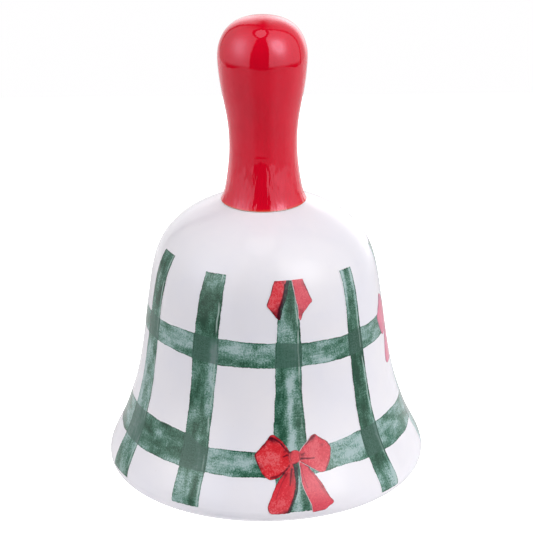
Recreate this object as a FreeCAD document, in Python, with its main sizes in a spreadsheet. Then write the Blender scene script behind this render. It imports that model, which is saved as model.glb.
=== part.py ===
import FreeCAD, Part
import math
import os
import Sketcher
from FreeCAD import Vector

# Ceramic hand bell. Millimetres, +Z up along the bell's axis, origin at the centre of the
# foot ring's resting plane.
#
#   fixed      bell_body, handle, handle_bond, crown_plug, hanger_staple
#   swinging   chain_link_1 on the staple's eye, chain_link_2, chain_link_3,
#              then clapper_eye with clapper_drop

# ---------------------------------------------------------------- driving dimensions
LIP_ROUND = 4.50
FOOT_ROUND = 1.20
ROOF_LEVEL = 82.40      # underside of the crown
CROWN_LEVEL = 87.86     # land on the crown that carries the slip joint
BOND_THICK = 0.30
SOCKET_RADIUS = 7.10

# Control points (radius, height) of the clamped cubic meridians.
OUTER = [
    (49.90, LIP_ROUND), (49.90, 6.10), (48.40, 10.00), (45.25, 15.40), (42.85, 22.27),
    (40.31, 30.47), (38.57, 40.29), (37.18, 50.70), (35.88, 61.11), (34.21, 70.80),
    (30.20, 78.72), (22.77, 84.27), (13.20, CROWN_LEVEL),
]
INNER = [
    (43.20, FOOT_ROUND), (43.30, 5.00), (42.90, 9.00), (41.60, 13.50), (39.40, 18.60),
    (36.20, 28.50), (34.20, 39.40), (32.60, 51.80), (31.10, 63.00), (28.40, 72.60),
    (21.60, 79.20), (13.00, ROOF_LEVEL), (7.50, ROOF_LEVEL),
]
GRIP = [
    (13.33, CROWN_LEVEL + BOND_THICK), (12.43, 89.80), (11.81, 92.07), (10.70, 99.50),
    (10.31, 107.00), (11.00, 115.03), (12.79, 122.97), (13.80, 131.01), (14.00, 139.10),
    (8.24, 145.80), (0.00, 145.80),
]
HOLLOW = [
    (SOCKET_RADIUS, 97.50), (7.00, 103.00), (7.05, 109.00), (7.70, 116.00), (9.50, 123.00),
    (10.40, 131.00), (10.20, 137.20), (5.60, 142.00), (0.00, 142.00),
]
DROP = [
    (3.10, 45.30), (3.50, 41.00), (4.10, 38.00), (8.40, 36.50), (10.30, 30.50),
    (10.00, 22.50), (6.00, 18.40), (0.00, 18.40),
]

# alias, value, note
SIZES = [
    ("lip_round", LIP_ROUND, "outer rounding of the rim"),
    ("foot_round", FOOT_ROUND, "inner rounding of the rim"),
    ("crown_hole", 3.50, "radius of the hole through the crown"),
    ("boss_rad", 6.90, "radius of the locating boss on the crown"),
    ("boss_top", 91.90, "height of the boss's top"),
    ("socket_rad", SOCKET_RADIUS, "radius of the handle's socket"),
    ("bond_inner", 7.00, "inner radius of the slip joint"),
    ("bond_outer", 13.05, "outer radius of the slip joint"),
    ("bond_thick", BOND_THICK, "thickness of the slip joint"),
    ("plug_collar", 6.00, "radius of the plug under the roof"),
    ("plug_bottom", 80.60, "height of the plug's underside"),
    ("plug_top", 96.50, "height of the plug's top"),
    ("plug_head", 7.00, "radius of the plug inside the handle"),
    ("collar_chamfer", 1.20, "chamfer around the plug's underside"),
    ("head_chamfer", 0.60, "chamfer around the plug's top"),
    ("leg_offset", 1.30, "distance of a staple leg from the axis"),
    ("leg_bore", 0.85, "radius of the leg holes in the plug"),
    ("staple_wire", 0.80, "wire radius of the staple"),
    ("staple_eye", 2.80, "centre-line radius of the staple's eye"),
    ("staple_eye_lvl", 76.74, "height of the eye's centre"),
    ("neck_bend", 1.50, "bend radius between the eye and a leg"),
    ("top_bend", 0.95, "bend radius at a leg's top, which starts at the plug's top"),
    ("leg_end", 5.40, "distance of a leg's end from the axis"),
    ("link_wire", 0.70, "wire radius of a link"),
    ("link_bend", 2.20, "centre-line bend radius of a link"),
    ("link_pitch", 8.00, "distance from one hinge axis to the next"),
    ("link_play", 0.10, "play between two hanging wires"),
    ("eye_bend", 2.40, "centre-line radius of the clapper's eye"),
    ("eye_wire", 0.70, "wire radius of the clapper's eye"),
    ("shank_end", 33.00, "height of the shank's lower end"),
    ("shank_bore", 0.75, "radius of the shank's hole in the clapper"),
    ("shank_bore_end", 32.60, "height of the hole's lower end"),
]

doc = FreeCAD.newDocument("hand_bell")
sheet = doc.addObject("Spreadsheet::Sheet", "Sizes")


def point_rows(prefix, points, what):
    """Sheet rows of a meridian: outer_rad_a, outer_lvl_a, outer_rad_b and so on."""
    rows = []
    for k, (radius, level) in enumerate(points):
        letter = chr(ord("a") + k)
        rows.append(("%s_rad_%s" % (prefix, letter), radius, what + ", control point radius"))
        rows.append(("%s_lvl_%s" % (prefix, letter), level, what + ", control point height"))
    return rows


sheet_rows = (
    point_rows("outer", OUTER, "bell outside")
    + point_rows("inner", INNER, "bell inside")
    + point_rows("grip", GRIP, "handle outside")
    + point_rows("hollow", HOLLOW, "handle hollow")
    + point_rows("drop", DROP, "clapper outside")
    + SIZES
)
for row, (alias, value, note) in enumerate(sheet_rows, 1):
    sheet.set("A%d" % row, alias)
    sheet.set("B%d" % row, repr(float(value)))
    sheet.setAlias("B%d" % row, alias)
    sheet.set("C%d" % row, note)
doc.recompute()

# ---------------------------------------------------------------- formulas
# A formula is a sum of aliases with spaces around its signs: "plug_top + top_bend".
# size() gives its number now, expression() the text that binds an object to it.
ON_AXIS = ""


def size(formula):
    total, sign = 0.0, 1
    for term in formula.split():
        if term in ("+", "-"):
            sign = 1 if term == "+" else -1
        else:
            total += sign * float(sheet.get(term))
    return total


def expression(formula):
    return " ".join(term if term in ("+", "-") else "Sizes." + term
                    for term in formula.split())


def bind(obj, prop, formula):
    obj.setExpression(prop, expression(formula))


# ---------------------------------------------------------------- bodies and sketches
ORIGIN, X_AXIS, Y_AXIS = -1, -1, -2     # sketch geometry numbers
START, END, CENTRE = 1, 2, 3            # point positions on sketch geometry
POLE_MARK = 0.6                         # drawn radius of a control point's circle


def new_body(name):
    body = doc.addObject("PartDesign::Body", name)
    body.Label = name
    return body


def attach(feature, body, role):
    """Lay a feature flat on one of the body's origin planes."""
    for plane in body.Origin.OriginFeatures:
        if getattr(plane, "Role", "") == role:
            feature.AttachmentSupport = [(plane, "")]
            feature.MapMode = "FlatFace"
            return
    raise RuntimeError("no origin plane " + role)


def new_sketch(body, name, role="XZ_Plane"):
    sketch = body.newObject("Sketcher::SketchObject", name)
    attach(sketch, body, role)
    return sketch


def constrain(sketch, constraint, formula):
    index = sketch.addConstraint(constraint)
    bind(sketch, "Constraints[%d]" % index, formula)


def pin_point(sketch, geo, pos, x_formula, y_formula):
    """Bind a point's two coordinates to the sheet, or put it on an axis."""
    for kind, formula, axis in (("DistanceX", x_formula, Y_AXIS),
                                ("DistanceY", y_formula, X_AXIS)):
        if formula == ON_AXIS:
            sketch.addConstraint(Sketcher.Constraint("PointOnObject", geo, pos, axis))
            continue
        point = sketch.getPoint(geo, pos)
        now = point.x if kind == "DistanceX" else point.y
        constrain(sketch, Sketcher.Constraint(kind, ORIGIN, START, geo, pos, now), formula)


def join(sketch, geo_1, pos_1, geo_2, pos_2):
    sketch.addConstraint(Sketcher.Constraint("Coincident", geo_1, pos_1, geo_2, pos_2))


def circle_curve(x, y, radius):
    return Part.Circle(Vector(x, y, 0), Vector(0, 0, 1), radius)


def line(sketch, start, end):
    return sketch.addGeometry(Part.LineSegment(Vector(*start, 0), Vector(*end, 0)), False)


def arc(sketch, x, y, radius, angle_1, angle_2):
    curve = Part.ArcOfCircle(circle_curve(x, y, radius), angle_1, angle_2)
    return sketch.addGeometry(curve, False)


def circle(sketch, x_formula, y_formula, radius):
    geo = sketch.addGeometry(circle_curve(size(x_formula), size(y_formula), size(radius)), False)
    pin_point(sketch, geo, CENTRE, x_formula, y_formula)
    constrain(sketch, Sketcher.Constraint("Radius", geo, size(radius)), radius)


def meridian(sketch, prefix, points):
    """A clamped cubic whose control points are bound to the sheet."""
    poles = [Vector(radius, level, 0) for radius, level in points]
    curve = Part.BSplineCurve()
    curve.buildFromPoles(poles, False, 3, False)
    spline = sketch.addGeometry(curve, False)
    first = spline + 1
    for k, pole in enumerate(poles):
        mark = sketch.addGeometry(circle_curve(pole.x, pole.y, POLE_MARK), True)
        if k == 0:
            sketch.addConstraint(Sketcher.Constraint("Weight", mark, 1.0))
        else:
            sketch.addConstraint(Sketcher.Constraint("Equal", first, mark))
        sketch.addConstraint(Sketcher.Constraint(
            "InternalAlignment:Sketcher::BSplineControlPoint", mark, CENTRE, spline, k))
    for k, pole in enumerate(poles):
        letter = chr(ord("a") + k)
        radius = ON_AXIS if pole.x == 0 else "%s_rad_%s" % (prefix, letter)
        pin_point(sketch, first + k, CENTRE, radius, "%s_lvl_%s" % (prefix, letter))
    return spline


def polyline(sketch, start, corners, end):
    """Straight runs between two (geometry, position) ends, over corners given as formulas."""
    point = sketch.getPoint(*start)
    previous, here = start, (point.x, point.y)
    for x_formula, y_formula in corners:
        corner = (size(x_formula), size(y_formula))
        run = line(sketch, here, corner)
        join(sketch, *previous, run, START)
        pin_point(sketch, run, END, x_formula, y_formula)
        previous, here = (run, END), corner
    point = sketch.getPoint(*end)
    run = line(sketch, here, (point.x, point.y))
    join(sketch, *previous, run, START)
    join(sketch, run, END, *end)


def revolve(body, sketch, name):
    turned = body.newObject("PartDesign::Revolution", name)
    turned.Profile = sketch
    turned.ReferenceAxis = (sketch, ["V_Axis"])
    turned.Angle = 360.0


def sweep(body, section, path, edges, name):
    pipe = body.newObject("PartDesign::AdditivePipe", name)
    pipe.Profile = section
    pipe.Spine = (path, ["Edge%d" % number for number in edges])


# ---------------------------------------------------------------- bell_body
def rim_round(sketch, centre_x, centre_z, radius, angle, spline, spline_pos, foot_pos):
    """A quarter circle between the foot ring and the start of a meridian."""
    quarter = arc(sketch, size(centre_x), size(centre_z), size(radius),
                  angle, angle + 0.5 * math.pi)
    pin_point(sketch, quarter, CENTRE, centre_x, centre_z)
    join(sketch, quarter, spline_pos, spline, START)
    constrain(sketch, Sketcher.Constraint("DistanceX", ORIGIN, START, quarter, foot_pos,
                                          size(centre_x)), centre_x)
    return quarter


def build_bell():
    body = new_body("bell_body")
    sketch = new_sketch(body, "bell_profile")
    outside = meridian(sketch, "outer", OUTER)
    inside = meridian(sketch, "inner", INNER)
    lip_x = "outer_rad_a - lip_round"
    foot_x = "inner_rad_a + foot_round"
    lip = rim_round(sketch, lip_x, "outer_lvl_a", "lip_round", 1.5 * math.pi,
                    outside, END, START)
    inner_round = rim_round(sketch, foot_x, "inner_lvl_a", "foot_round", math.pi,
                            inside, START, END)
    # flat foot ring between the two roundings
    foot = line(sketch, (size(lip_x), 0), (size(foot_x), 0))
    join(sketch, foot, START, lip, START)
    join(sketch, foot, END, inner_round, END)
    # crown: flat roof, hole, boss and the land under the slip joint
    polyline(sketch, (inside, END), [
        ("crown_hole", "inner_lvl_m"),
        ("crown_hole", "boss_top"),
        ("boss_rad", "boss_top"),
        ("boss_rad", "outer_lvl_m"),
    ], (outside, END))
    revolve(body, sketch, "bell_revolve")
    return body


# ---------------------------------------------------------------- handle
def build_handle():
    body = new_body("handle")
    sketch = new_sketch(body, "handle_profile")
    outside = meridian(sketch, "grip", GRIP)
    hollow = meridian(sketch, "hollow", HOLLOW)
    top = line(sketch, (0, size("grip_lvl_k")), (0, size("hollow_lvl_i")))
    join(sketch, top, START, outside, END)
    join(sketch, top, END, hollow, END)
    polyline(sketch, (hollow, START), [("socket_rad", "grip_lvl_a")], (outside, START))
    revolve(body, sketch, "handle_revolve")
    return body


# ---------------------------------------------------------------- handle_bond
def build_bond():
    """The ring of slip between the crown's land and the handle."""
    body = new_body("handle_bond")
    sketch = new_sketch(body, "bond_ring", "XY_Plane")
    for radius in ("bond_inner", "bond_outer"):
        circle(sketch, ON_AXIS, ON_AXIS, radius)
    bind(sketch, ".AttachmentOffset.Base.z", "outer_lvl_m")
    pad = body.newObject("PartDesign::Pad", "bond_pad")
    pad.Profile = sketch
    bind(pad, "Length", "bond_thick")
    return body


# ---------------------------------------------------------------- crown_plug
def build_plug():
    """A turned plug through the crown's hole, with two holes for the staple's legs."""
    body = new_body("crown_plug")
    sketch = new_sketch(body, "plug_profile")
    corners = [
        (ON_AXIS, "plug_bottom"),
        ("plug_collar - collar_chamfer", "plug_bottom"),
        ("plug_collar", "plug_bottom + collar_chamfer"),
        ("plug_collar", "inner_lvl_m"),
        ("crown_hole", "inner_lvl_m"),
        ("crown_hole", "boss_top"),
        ("plug_head", "boss_top"),
        ("plug_head", "plug_top - head_chamfer"),
        ("plug_head - head_chamfer", "plug_top"),
        (ON_AXIS, "plug_top"),
    ]
    points = [(size(x), size(z)) for x, z in corners]
    sides = [line(sketch, start, end) for start, end in zip(points, points[1:] + points[:1])]
    for k, side in enumerate(sides):
        join(sketch, side, END, sides[(k + 1) % len(sides)], START)
        pin_point(sketch, side, START, *corners[k])
    revolve(body, sketch, "plug_revolve")
    doc.recompute()
    solid_volume = body.Shape.Volume

    sketch = new_sketch(body, "leg_holes", "XY_Plane")
    for x_formula in ("- leg_offset", "leg_offset"):
        circle(sketch, x_formula, ON_AXIS, "leg_bore")
    cut = body.newObject("PartDesign::Pocket", "leg_holes_cut")
    cut.Profile = sketch
    cut.Type = "ThroughAll"
    cut.Midplane = True     # the sketch lies below the plug, so cut both ways
    doc.recompute()
    removed = solid_volume - body.Shape.Volume
    expected = 2 * math.pi * size("leg_bore") ** 2 * size("plug_top - plug_bottom")
    if abs(removed - expected) > 0.5:
        raise RuntimeError("the leg holes did not cut: %s %s" % (removed, expected))
    return body


# ---------------------------------------------------------------- hanger_staple
def build_staple():
    """A wire in the XZ plane: an open eye, two legs, and ends bent outwards on the plug.
    The path is drawn from the sheet's values and isn't bound to them."""
    body = new_body("hanger_staple")
    path = new_sketch(body, "staple_path")
    eye, eye_z, neck = size("staple_eye"), size("staple_eye_lvl"), size("neck_bend")
    leg_x, bend, end_x = size("leg_offset"), size("top_bend"), size("leg_end")
    bend_x, bend_z = leg_x + bend, size("plug_top")
    end_z = bend_z + bend
    # the neck bends touch the eye from outside
    neck_x = leg_x + neck
    neck_rise = math.sqrt((eye + neck) ** 2 - neck_x ** 2)
    neck_z = eye_z + neck_rise
    touch = math.atan2(neck_rise, neck_x)
    pi = math.pi

    pieces = [
        line(path, (-end_x, end_z), (-bend_x, end_z)),
        arc(path, -bend_x, bend_z, bend, 0.0, pi / 2),
        line(path, (-leg_x, bend_z), (-leg_x, neck_z)),
        arc(path, -neck_x, neck_z, neck, -touch, 0.0),
        arc(path, 0, eye_z, eye, pi - touch, 2 * pi + touch),
        arc(path, neck_x, neck_z, neck, pi, pi + touch),
        line(path, (leg_x, neck_z), (leg_x, bend_z)),
        arc(path, bend_x, bend_z, bend, pi / 2, pi),
        line(path, (bend_x, end_z), (end_x, end_z)),
    ]
    section = new_sketch(body, "staple_section", "YZ_Plane")
    circle(section, ON_AXIS, "plug_top + top_bend", "staple_wire")
    bind(section, ".AttachmentOffset.Base.z", "- leg_end")
    sweep(body, section, path, range(1, len(pieces) + 1), "staple_pipe")
    return body


# ---------------------------------------------------------------- chain links
def hinge_level(number):
    """Formula for the height of a hinge; hinge 0 is the lowest point of the staple's eye."""
    return "staple_eye_lvl - staple_eye" + " - link_pitch" * number


def build_link(number, role, upper_wire):
    """An oval wire link in the role's plane, hanging on a wire of radius upper_wire."""
    name = "chain_link_%d" % number
    body = new_body(name)
    hinge = hinge_level(number - 1)
    upper_z = hinge + " + %s + link_wire + link_play - link_bend" % upper_wire
    lower_z = hinge + " - link_pitch + link_bend"
    bend, high, low = size("link_bend"), size(upper_z), size(lower_z)

    path = new_sketch(body, name + "_path", role)
    upper = arc(path, 0, high, bend, 0.0, math.pi)
    side_1 = line(path, (-bend, high), (-bend, low))
    lower = arc(path, 0, low, bend, math.pi, 2 * math.pi)
    side_2 = line(path, (bend, low), (bend, high))
    loop = (upper, side_1, lower, side_2)
    # each piece runs tangentially into the next; the upper bend and side_1 meet END to START
    for geo, following in zip(loop, loop[1:] + loop[:1]):
        path.addConstraint(Sketcher.Constraint("Tangent", geo, END, following, START))
    pin_point(path, upper, CENTRE, ON_AXIS, upper_z)
    pin_point(path, lower, CENTRE, ON_AXIS, lower_z)
    constrain(path, Sketcher.Constraint("Radius", upper, bend), "link_bend")
    path.addConstraint(Sketcher.Constraint("Vertical", side_1))

    section = new_sketch(body, name + "_section", "XY_Plane")
    if role == "XZ_Plane":
        circle(section, "link_bend", ON_AXIS, "link_wire")
    else:
        circle(section, ON_AXIS, "link_bend", "link_wire")
    bind(section, ".AttachmentOffset.Base.z", lower_z)
    doc.recompute()
    # the sweep starts on side_2, where the section sits
    sweep(body, section, path, (4, 1, 2, 3), name + "_pipe")
    return body


# ---------------------------------------------------------------- clapper_eye
def build_clapper_eye():
    """A ring in the XZ plane on the last link, with a straight shank below it."""
    body = new_body("clapper_eye")
    eye_z = hinge_level(3) + " + link_wire + eye_wire + link_play - eye_bend"
    ring = body.newObject("PartDesign::AdditiveTorus", "eye_ring")
    attach(ring, body, "XZ_Plane")
    bind(ring, "Radius1", "eye_bend")
    bind(ring, "Radius2", "eye_wire")
    bind(ring, ".AttachmentOffset.Base.y", eye_z)
    doc.recompute()
    shank = body.newObject("PartDesign::AdditiveCylinder", "eye_shank")
    attach(shank, body, "XY_Plane")
    bind(shank, "Radius", "eye_wire")
    bind(shank, "Height", eye_z + " - eye_bend - shank_end")
    bind(shank, ".AttachmentOffset.Base.z", "shank_end")
    return body


# ---------------------------------------------------------------- clapper_drop
def build_clapper_drop():
    """The turned clapper, with a blind hole from above for the shank."""
    body = new_body("clapper_drop")
    sketch = new_sketch(body, "drop_profile")
    outside = meridian(sketch, "drop", DROP)
    polyline(sketch, (outside, START), [
        ("shank_bore", "drop_lvl_a"),
        ("shank_bore", "shank_bore_end"),
        (ON_AXIS, "shank_bore_end"),
    ], (outside, END))
    revolve(body, sketch, "drop_revolve")
    return body


# ---------------------------------------------------------------- build and write
bodies = [
    build_bell(),
    build_handle(),
    build_bond(),
    build_plug(),
    build_staple(),
    build_link(1, "YZ_Plane", "staple_wire"),
    build_link(2, "XZ_Plane", "link_wire"),
    build_link(3, "YZ_Plane", "link_wire"),
    build_clapper_eye(),
    build_clapper_drop(),
]
doc.recompute()

failed = [obj.Name + ":" + ",".join(obj.State) for obj in doc.Objects
          if "Invalid" in obj.State or "Error" in obj.State]
if failed:
    raise RuntimeError("failed objects: " + "; ".join(failed))
for body in bodies:
    shape = body.Shape
    if shape.isNull() or not shape.isValid() or len(shape.Solids) != 1:
        raise RuntimeError("bad shape: " + body.Label)

os.makedirs("parts", exist_ok=True)
for body in bodies:
    body.Shape.exportStep("parts/%s.step" % body.Label)
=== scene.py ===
"""Looks for the ceramic hand bell: white glaze with a green plaid and red ribbon bows, red handle.

Metres, same frame as the CAD: +Z up, the main bow towards -Y, the bell's axis on Z.
Painted pieces are laid out in millimetres. Angles run round the axis from the front (-Y),
growing towards +X. Each painted piece is a thin closed shell half sunk into the glaze.
"""
import bpy
import math
import numpy as np
from mathutils import Matrix, Vector


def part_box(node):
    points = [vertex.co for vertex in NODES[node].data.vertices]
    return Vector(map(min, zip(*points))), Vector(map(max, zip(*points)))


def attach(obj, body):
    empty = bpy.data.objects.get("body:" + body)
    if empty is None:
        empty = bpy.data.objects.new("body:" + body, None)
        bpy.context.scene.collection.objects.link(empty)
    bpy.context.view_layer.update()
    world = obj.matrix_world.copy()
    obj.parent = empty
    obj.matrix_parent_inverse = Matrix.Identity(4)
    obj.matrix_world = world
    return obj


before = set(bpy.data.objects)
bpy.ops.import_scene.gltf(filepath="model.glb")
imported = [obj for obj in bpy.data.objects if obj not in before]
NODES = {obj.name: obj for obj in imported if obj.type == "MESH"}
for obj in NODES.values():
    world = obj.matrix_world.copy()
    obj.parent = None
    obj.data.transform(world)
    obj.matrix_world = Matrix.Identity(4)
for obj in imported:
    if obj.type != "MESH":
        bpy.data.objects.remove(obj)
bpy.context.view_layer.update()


MM = 0.001
ROOT = "bell"

# painted shells, mm: outer faces over the glaze, inner faces under it
LIFT_BAND, LIFT_STRIPE, LIFT_BOW = 0.055, 0.085, 0.120
SINK = -0.06
STRIP_STEP = 0.42        # mesh step of stripes and bands
BOW_STEP = 0.11          # mesh step of bows
BAND_MARGIN = 0.75       # bands lie on white glaze, so their ragged edge may run out freely
STRIPE_MARGIN = 0.22     # stripes lie over the bands, so they are cut close to their edge


# ------------------------------------------------------------------ small helpers
def linear(*rgb):
    """sRGB 0..255 to linear 0..1."""
    shares = [c / 255.0 for c in rgb]
    return tuple(c / 12.92 if c <= 0.04045 else ((c + 0.055) / 1.055) ** 2.4 for c in shares)


def smoothstep(start, stop, value):
    t = np.clip((value - start) / (stop - start), 0, 1)
    return t * t * (3 - 2 * t)


def blend(first, second, share):
    return first * (1 - share) + second * share


class ValueNoise:
    """Seeded value noise on a lattice."""

    def __init__(self, seed):
        self.lattice = np.random.RandomState(seed).rand(256, 256)

    def at(self, x, y):
        column = np.floor(x).astype(int)
        row = np.floor(y).astype(int)
        fx, fy = x - column, y - row
        fx = fx * fx * (3 - 2 * fx)
        fy = fy * fy * (3 - 2 * fy)

        def corner(i, j):
            return self.lattice[(column + i) % 256, (row + j) % 256]

        near = blend(corner(0, 0), corner(1, 0), fx)
        return near * (1 - fy) + blend(corner(0, 1), corner(1, 1), fx) * fy

    def layered(self, x, y, octaves, gain=0.5):
        """Octaves of noise summed and brought back to 0..1."""
        total, weight, weights, scale = 0, 1.0, 0.0, 1.0
        for octave in range(octaves):
            total = total + weight * self.at(x * scale + 17.3 * octave, y * scale + 9.1 * octave)
            weights += weight
            weight *= gain
            scale *= 2.03
        return total / weights


# ------------------------------------------------------------------ the bell's outside
def outer_profile():
    """Heights and radii (mm) of the outer line, read from the CAD mesh."""
    mesh = NODES["bell_body"].data
    points = np.zeros(len(mesh.vertices) * 3)
    mesh.vertices.foreach_get("co", points)
    points = points.reshape(-1, 3) / MM
    order = np.argsort(points[:, 2])
    heights = points[order, 2]
    radii = np.hypot(points[:, 0], points[:, 1])[order]
    outline = set()
    for level in np.arange(0.4, 87.9, 0.25):
        first = np.searchsorted(heights, level - 0.22)
        last = np.searchsorted(heights, level + 0.22)
        if last > first:
            widest = first + np.argmax(radii[first:last])
            outline.add((heights[widest], radii[widest]))
    outline = np.array(sorted(outline))
    # leave out points that nearly share a height with the last one kept
    kept = [0]
    for k in range(1, len(outline)):
        if outline[k, 0] - outline[kept[-1], 0] > 0.12:
            kept.append(k)
    return outline[kept, 0], outline[kept, 1]


def smoothed_slope():
    """Heights (mm) and the change of radius with height, after a Gaussian blur."""
    heights = np.linspace(PROFILE_Z[0], PROFILE_Z[-1], 700)
    radii = np.interp(heights, PROFILE_Z, PROFILE_R)
    half = 8
    kernel = np.exp(-0.5 * (np.arange(-half, half + 1) / 3.0) ** 2)
    kernel /= kernel.sum()
    before = 2 * radii[0] - radii[1:half + 1][::-1]
    after = 2 * radii[-1] - radii[-half - 1:-1][::-1]
    blurred = np.convolve(np.r_[before, radii, after], kernel, "valid")
    return heights, np.gradient(blurred, heights)


PROFILE_Z, PROFILE_R = outer_profile()
SLOPE_Z, SLOPE = smoothed_slope()


def radius_at(z):
    return np.interp(z, PROFILE_Z, PROFILE_R)


def on_bell(theta, z, lift):
    """Points (metres) at angle theta (radians) and height z, lifted off the glaze (mm)."""
    slope = np.interp(z, SLOPE_Z, SLOPE)
    steepness = np.sqrt(1 + slope * slope)
    radius = radius_at(z) + lift / steepness
    height = z - lift * slope / steepness
    return np.stack([radius * np.sin(theta), -radius * np.cos(theta), height], -1) * MM


# ------------------------------------------------------------------ node graphs
DOWN = (1.0, 0.0)        # target of a remap that falls from full to none


class Wire:
    """A node's output. Arithmetic and comparison on it add math nodes."""

    def __init__(self, graph, socket):
        self.graph = graph
        self.socket = socket

    def __add__(self, other):
        return self.graph.math("ADD", self, other)

    def __radd__(self, other):
        return self.graph.math("ADD", other, self)

    def __sub__(self, other):
        return self.graph.math("SUBTRACT", self, other)

    def __rsub__(self, other):
        return self.graph.math("SUBTRACT", other, self)

    def __mul__(self, other):
        return self.graph.math("MULTIPLY", self, other)

    def __truediv__(self, other):
        return self.graph.math("DIVIDE", self, other)

    def __gt__(self, other):
        return self.graph.math("GREATER_THAN", self, other)

    def __lt__(self, other):
        return self.graph.math("LESS_THAN", self, other)

    def __abs__(self):
        return self.graph.math("ABSOLUTE", self)


class Graph:
    """Shorthands for writing the node tree of a material or a world."""

    def __init__(self, owner, output_kind):
        self.owner = owner
        owner.use_nodes = True
        self.tree = owner.node_tree
        self.tree.nodes.clear()
        self.output = self.tree.nodes.new("ShaderNodeOutput" + output_kind)

    def put(self, socket, value):
        """Link a wire, or set a value; a lone number fills all channels of a colour."""
        if isinstance(value, Wire):
            self.tree.links.new(value.socket, socket)
        elif hasattr(socket.default_value, "__len__"):
            channels = list(value) if isinstance(value, (tuple, list)) else [value] * 3
            socket.default_value = (channels + [1.0])[:len(socket.default_value)]
        else:
            socket.default_value = value

    def node(self, kind, inputs=None, out=0, **settings):
        node = self.tree.nodes.new("ShaderNode" + kind)
        for key, value in settings.items():
            setattr(node, key, value)
        for key, value in (inputs or {}).items():
            self.put(node.inputs[key], value)
        return Wire(self, node.outputs[out])

    def math(self, operation, *values, clamp=False):
        return self.node("Math", dict(enumerate(values)), operation=operation, use_clamp=clamp)

    def minimum(self, first, second):
        return self.math("MINIMUM", first, second)

    def maximum(self, first, second):
        return self.math("MAXIMUM", first, second)

    def vector(self, operation, *values, out=0):
        return self.node("VectorMath", dict(enumerate(values)), out, operation=operation)

    def offset(self, vector, by):
        return self.vector("ADD", vector, by)

    def stretch(self, vector, by):
        return self.vector("MULTIPLY", vector, by)

    def scaled(self, vector, factor):
        return self.node("VectorMath", {0: vector, 3: factor}, operation="SCALE")

    def combine(self, x, y, z):
        return self.node("CombineXYZ", {0: x, 1: y, 2: z})

    def split(self, vector):
        separate = self.node("SeparateXYZ", {0: vector}).socket.node
        return [Wire(self, socket) for socket in separate.outputs]

    def length(self, x, y):
        return self.vector("LENGTH", self.combine(x, y, 0.0), out=1)

    def remap(self, value, span, to=(0.0, 1.0), kind="LINEAR"):
        inputs = {0: value, 1: span[0], 2: span[1], 3: to[0], 4: to[1]}
        return self.node("MapRange", inputs, interpolation_type=kind)

    def ease(self, value, span, to=(0.0, 1.0)):
        """A remap with soft ends."""
        return self.remap(value, span, to, "SMOOTHSTEP")

    def mix(self, share, first, second):
        return self.node("Mix", {0: share, 6: first, 7: second}, 2, data_type="RGBA")

    def noise(self, vector, scale, detail, rough=0.5, out=0):
        inputs = {"Vector": vector, "Scale": scale, "Detail": detail, "Roughness": rough}
        return self.node("TexNoise", inputs, out)

    def voronoi(self, vector, scale, out=0):
        return self.node("TexVoronoi", {"Vector": vector, "Scale": scale}, out)

    def ramp(self, share, stops):
        """Colour ramp; stops are (position, linear colour)."""
        wire = self.node("ValToRGB", {0: share})
        elements = wire.socket.node.color_ramp.elements
        while len(elements) < len(stops):
            elements.new(0.5)
        for element, (position, color) in zip(elements, stops):
            element.position = position
            element.color = tuple(color) + (1.0,)
        return wire

    def attribute(self, name, out="Fac"):
        return self.node("Attribute", out=out, attribute_name=name)

    def bump(self, height):
        """Normal from a height in metres."""
        return self.node("Bump", {"Strength": 1.0, "Distance": 1.0, "Height": height})

    def camera_ray(self):
        return self.node("LightPath", out="Is Camera Ray")


class Material(Graph):
    INPUTS = {"color": "Base Color", "rough": "Roughness", "metal": "Metallic",
              "normal": "Normal", "ior": "IOR", "spec": "Specular IOR Level",
              "tint": "Specular Tint", "emission": "Emission Color",
              "emission_strength": "Emission Strength"}

    def __init__(self, name):
        super().__init__(bpy.data.materials.new(name), "Material")
        self.surface = self.node("BsdfPrincipled")
        self.put(self.output.inputs[0], self.surface)

    def position(self):
        """Object coordinates in millimetres."""
        return self.scaled(self.node("TexCoord", out="Object"), 1000.0)

    def finish(self, **values):
        for key, value in values.items():
            self.put(self.surface.socket.node.inputs[self.INPUTS[key]], value)
        return self.owner


# ------------------------------------------------------------------ glazes
def white_color(mat, pos):
    """Nearly even white, slow cloudy tone where the glaze lies thicker, and rare specks."""
    cloud = mat.noise(pos, scale=0.045, detail=3)
    pool = mat.noise(mat.offset(pos, (31.0, 7.0, 2.0)), scale=0.16, detail=2)
    color = mat.ramp(mat.remap(cloud, span=(0.3, 0.7)), [
        (0.0, linear(239, 238, 247)), (0.5, linear(242, 240, 247)), (1.0, linear(246, 243, 248))])
    pooled = mat.ease(pool, span=(0.56, 0.75), to=(0.0, 0.22))
    color = mat.mix(pooled, color, linear(234, 233, 244))
    # iron specks a fifth of a millimetre wide, in a few of the cells
    speck = mat.voronoi(pos, scale=0.21)
    pick = mat.split(mat.voronoi(pos, scale=0.21, out=1))[0]
    dot = mat.ease(speck, span=(0.022, 0.040), to=DOWN) * (pick > 0.86)
    return mat.mix(dot * 0.35, color, linear(176, 168, 160))


def white_normal(mat, pos):
    """Slow hand-made waviness plus a faint orange peel."""
    slow = mat.noise(pos, scale=0.060, detail=1, rough=0.4)
    middle = mat.noise(mat.offset(pos, (5.0, 11.0, 3.0)), scale=0.22, detail=1, rough=0.4)
    peel = mat.noise(pos, scale=1.6, detail=2)
    return mat.bump(slow * 0.00018 + middle * 0.000040 + peel * 0.0000016)


def glaze_rough(mat, pos, low, high):
    grain = mat.noise(pos, scale=0.4, detail=3, rough=0.6)
    return mat.remap(grain, span=(0.3, 0.7), to=(low, high))


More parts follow.
